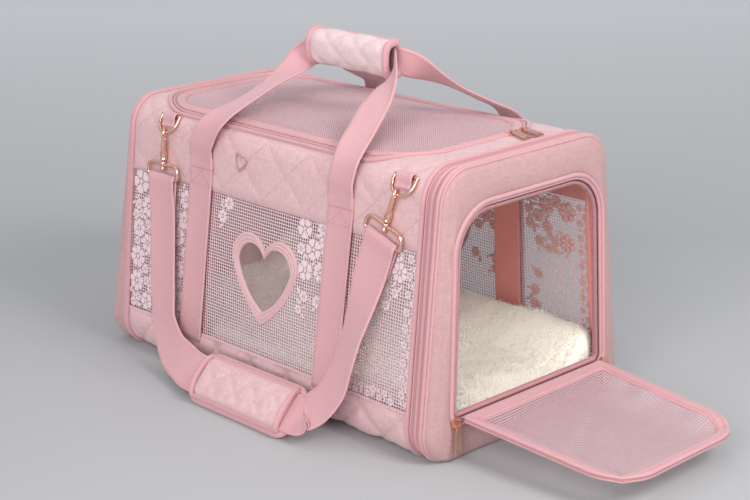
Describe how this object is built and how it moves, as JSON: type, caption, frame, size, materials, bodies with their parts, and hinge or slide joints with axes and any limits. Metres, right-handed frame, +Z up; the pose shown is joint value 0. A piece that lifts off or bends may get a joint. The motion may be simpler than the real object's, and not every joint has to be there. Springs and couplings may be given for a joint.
{
  "type": "pet carrier bag",
  "caption": "Soft-sided pet carrier bag with mesh windows, a drop-down end door, a zipped mesh top, two carry handles with a padded grip and a clip-on shoulder strap.",
  "frame": {"origin": "centre of the base, on the surface that the bag stands on", "axes": "+X towards the end with the drop-down door, +Y towards the far long side, +Z up"},
  "size_m": [0.634, 0.3101, 0.334],
  "materials": {
    "linen": "plain woven pink cloth, padded",
    "quilted": "diamond quilted pink cloth",
    "mesh": "open pink mesh",
    "binding": "folded pink tape",
    "zipper": "woven tape with a nylon coil",
    "webbing": "flat woven webbing",
    "plush": "deep cream pile",
    "board": "stiff sheet",
    "spring_wire": "bare wire",
    "rose_gold": "polished rose gold plating"
  },
  "bodies": {
    "bag": {"back_end_panel": "linen", "door_end_band": "linen", "door_end_panel": "linen", "bottom_panel": "linen", "top_panel_front": "linen", "top_panel_back": "linen", "door_end_piping_inner": "binding", "door_end_piping_outer": "binding", "back_end_piping": "binding", "door_end_wire_hoop": "spring_wire", "back_end_wire_hoop": "spring_wire", "door_end_zipper": "zipper", "door_opening_piping": "binding", "door_zipper_tape": "zipper", "top_zipper_tape": "zipper", "base_board": "board", "plush_bed": "plush", "top_far_slider": "rose_gold", "near_lower_band": "quilted", "near_upper_band": "quilted", "near_mesh_window": "mesh", "near_heart_trim": "binding", "near_rear_webbing": "webbing", "near_front_webbing": "webbing", "near_rear_ring_tab": "webbing", "near_front_ring_tab": "webbing", "far_lower_band": "quilted", "far_upper_band": "quilted", "far_mesh_window": "mesh", "far_heart_trim": "binding", "far_rear_webbing": "webbing", "far_front_webbing": "webbing", "far_rear_ring_tab": "webbing", "far_front_ring_tab": "webbing"},
    "door_flap": {"door_flap_rim": "binding", "door_flap_mesh": "mesh"},
    "top_flap": {"top_flap_rim": "binding", "top_flap_mesh": "mesh"},
    "near_handle": {"near_handle": "webbing", "grip_wrap": "quilted"},
    "far_handle": {"far_handle": "webbing"},
    "strap": {"shoulder_strap": "webbing", "shoulder_pad": "quilted", "rear_swivel_bracket": "rose_gold", "front_swivel_bracket": "rose_gold"},
    "near_rear_ring": {"near_rear_ring": "rose_gold"},
    "near_front_ring": {"near_front_ring": "rose_gold"},
    "far_rear_ring": {"far_rear_ring": "rose_gold"},
    "far_front_ring": {"far_front_ring": "rose_gold"},
    "rear_hook": {"rear_hook": "rose_gold"},
    "front_hook": {"front_hook": "rose_gold"},
    "rear_gate": {"rear_hook_gate": "rose_gold"},
    "front_gate": {"front_hook_gate": "rose_gold"},
    "door_near_pull": {"door_near_pull": "rose_gold"},
    "door_far_pull": {"door_far_pull": "rose_gold"},
    "door_near_slider": {"door_near_slider": "rose_gold"},
    "door_far_slider": {"door_far_slider": "rose_gold"},
    "top_near_slider": {"top_near_slider": "rose_gold"},
    "top_near_pull": {"top_near_pull": "rose_gold"},
    "top_far_pull": {"top_far_pull": "rose_gold"}
  },
  "joints": [
    {"name": "door_flap_hinge", "type": "hinge", "parent": "bag", "child": "door_flap", "pos_m": [0.2328, 0, 0.04], "axis": [0, -1, 0], "range_deg": [0, 94]},
    {"name": "near_handle_swing", "type": "hinge", "parent": "bag", "child": "near_handle", "pos_m": [0.0085, -0.1105, 0.214], "axis": [-1, 0, 0], "range_deg": [-150, 0]},
    {"name": "far_handle_swing", "type": "hinge", "parent": "bag", "child": "far_handle", "pos_m": [0.0085, 0.1105, 0.214], "axis": [1, 0, 0], "range_deg": [-150, 0]},
    {"name": "top_flap_hinge", "type": "hinge", "parent": "bag", "child": "top_flap", "pos_m": [-0.0075, 0.088, 0.2545], "axis": [-1, 0, 0], "range_deg": [0, 54]},
    {"name": "strap_swing", "type": "hinge", "parent": "bag", "child": "strap", "pos_m": [0.018, -0.10361, 0.24687], "axis": [-1, 0, 0], "range_deg": [0, 160]},
    {"name": "near_rear_ring_swing", "type": "hinge", "parent": "bag", "child": "near_rear_ring", "pos_m": [-0.142, -0.10361, 0.24687], "axis": [-1, 0, 0], "range_deg": [0, 160]},
    {"name": "near_front_ring_swing", "type": "hinge", "parent": "bag", "child": "near_front_ring", "pos_m": [0.178, -0.10361, 0.24687], "axis": [-1, 0, 0], "range_deg": [0, 160]},
    {"name": "far_rear_ring_swing", "type": "hinge", "parent": "bag", "child": "far_rear_ring", "pos_m": [-0.142, 0.10361, 0.24687], "axis": [1, 0, 0], "range_deg": [0, 150]},
    {"name": "far_front_ring_swing", "type": "hinge", "parent": "bag", "child": "far_front_ring", "pos_m": [0.158, 0.10361, 0.24687], "axis": [1, 0, 0], "range_deg": [0, 150]},
    {"name": "rear_hook_swivel", "type": "hinge", "parent": "strap", "child": "rear_hook", "pos_m": [-0.142, -0.11654, 0.20093], "axis": [0, 0.101, 0.9949], "range_deg": [-25, 0]},
    {"name": "rear_gate_press", "type": "hinge", "parent": "rear_hook", "child": "rear_gate", "pos_m": [-0.14412, -0.11266, 0.21411], "axis": [0.766, 0.6395, -0.0649], "range_deg": [0, 18], "stiffness_Nm_per_rad": 0.02, "springref_deg": -11.46},
    {"name": "front_hook_swivel", "type": "hinge", "parent": "strap", "child": "front_hook", "pos_m": [0.16412, -0.11521, 0.20299], "axis": [0.3042, 0.0718, 0.9499], "range_deg": [-25, 0]},
    {"name": "front_gate_press", "type": "hinge", "parent": "front_hook", "child": "front_gate", "pos_m": [0.16663, -0.11137, 0.2161], "axis": [0.8203, 0.4872, -0.2995], "range_deg": [0, 18], "stiffness_Nm_per_rad": 0.02, "springref_deg": -11.46},
    {"name": "door_near_slider_slide", "type": "slide", "parent": "bag", "child": "door_near_slider", "axis": [-0.0156, 0.0425, 0.999], "range_m": [0, 0.1]},
    {"name": "door_near_pull_swing", "type": "hinge", "parent": "door_near_slider", "child": "door_near_pull", "pos_m": [0.2366, -0.1, 0.036], "axis": [0, -1, 0], "range_deg": [0, 120]},
    {"name": "door_far_slider_slide", "type": "slide", "parent": "bag", "child": "door_far_slider", "axis": [-0.0156, -0.0425, 0.999], "range_m": [0, 0.1]},
    {"name": "door_far_pull_swing", "type": "hinge", "parent": "door_far_slider", "child": "door_far_pull", "pos_m": [0.2366, 0.1, 0.036], "axis": [0, -1, 0], "range_deg": [0, 120]},
    {"name": "top_near_slider_slide", "type": "slide", "parent": "bag", "child": "top_near_slider", "axis": [0, -1, 0], "range_m": [0, 0.055]},
    {"name": "top_near_pull_swing", "type": "hinge", "parent": "top_near_slider", "child": "top_near_pull", "pos_m": [0.1759, 0.03338, 0.2609], "axis": [-0.309, -0.9511, 0], "range_deg": [0, 150]},
    {"name": "top_far_pull_swing", "type": "hinge", "parent": "bag", "child": "top_far_pull", "pos_m": [0.17594, 0.04752, 0.2609], "axis": [-0.2419, -0.9703, 0], "range_deg": [0, 150]}
  ],
  "couplings": [
    {"joint": "far_handle_swing", "follows": "near_handle_swing", "ratio": 1},
    {"joint": "top_flap_hinge", "follows": "near_handle_swing", "ratio": -0.36},
    {"joint": "near_rear_ring_swing", "follows": "strap_swing", "ratio": 1},
    {"joint": "near_front_ring_swing", "follows": "strap_swing", "ratio": 1}
  ]
}
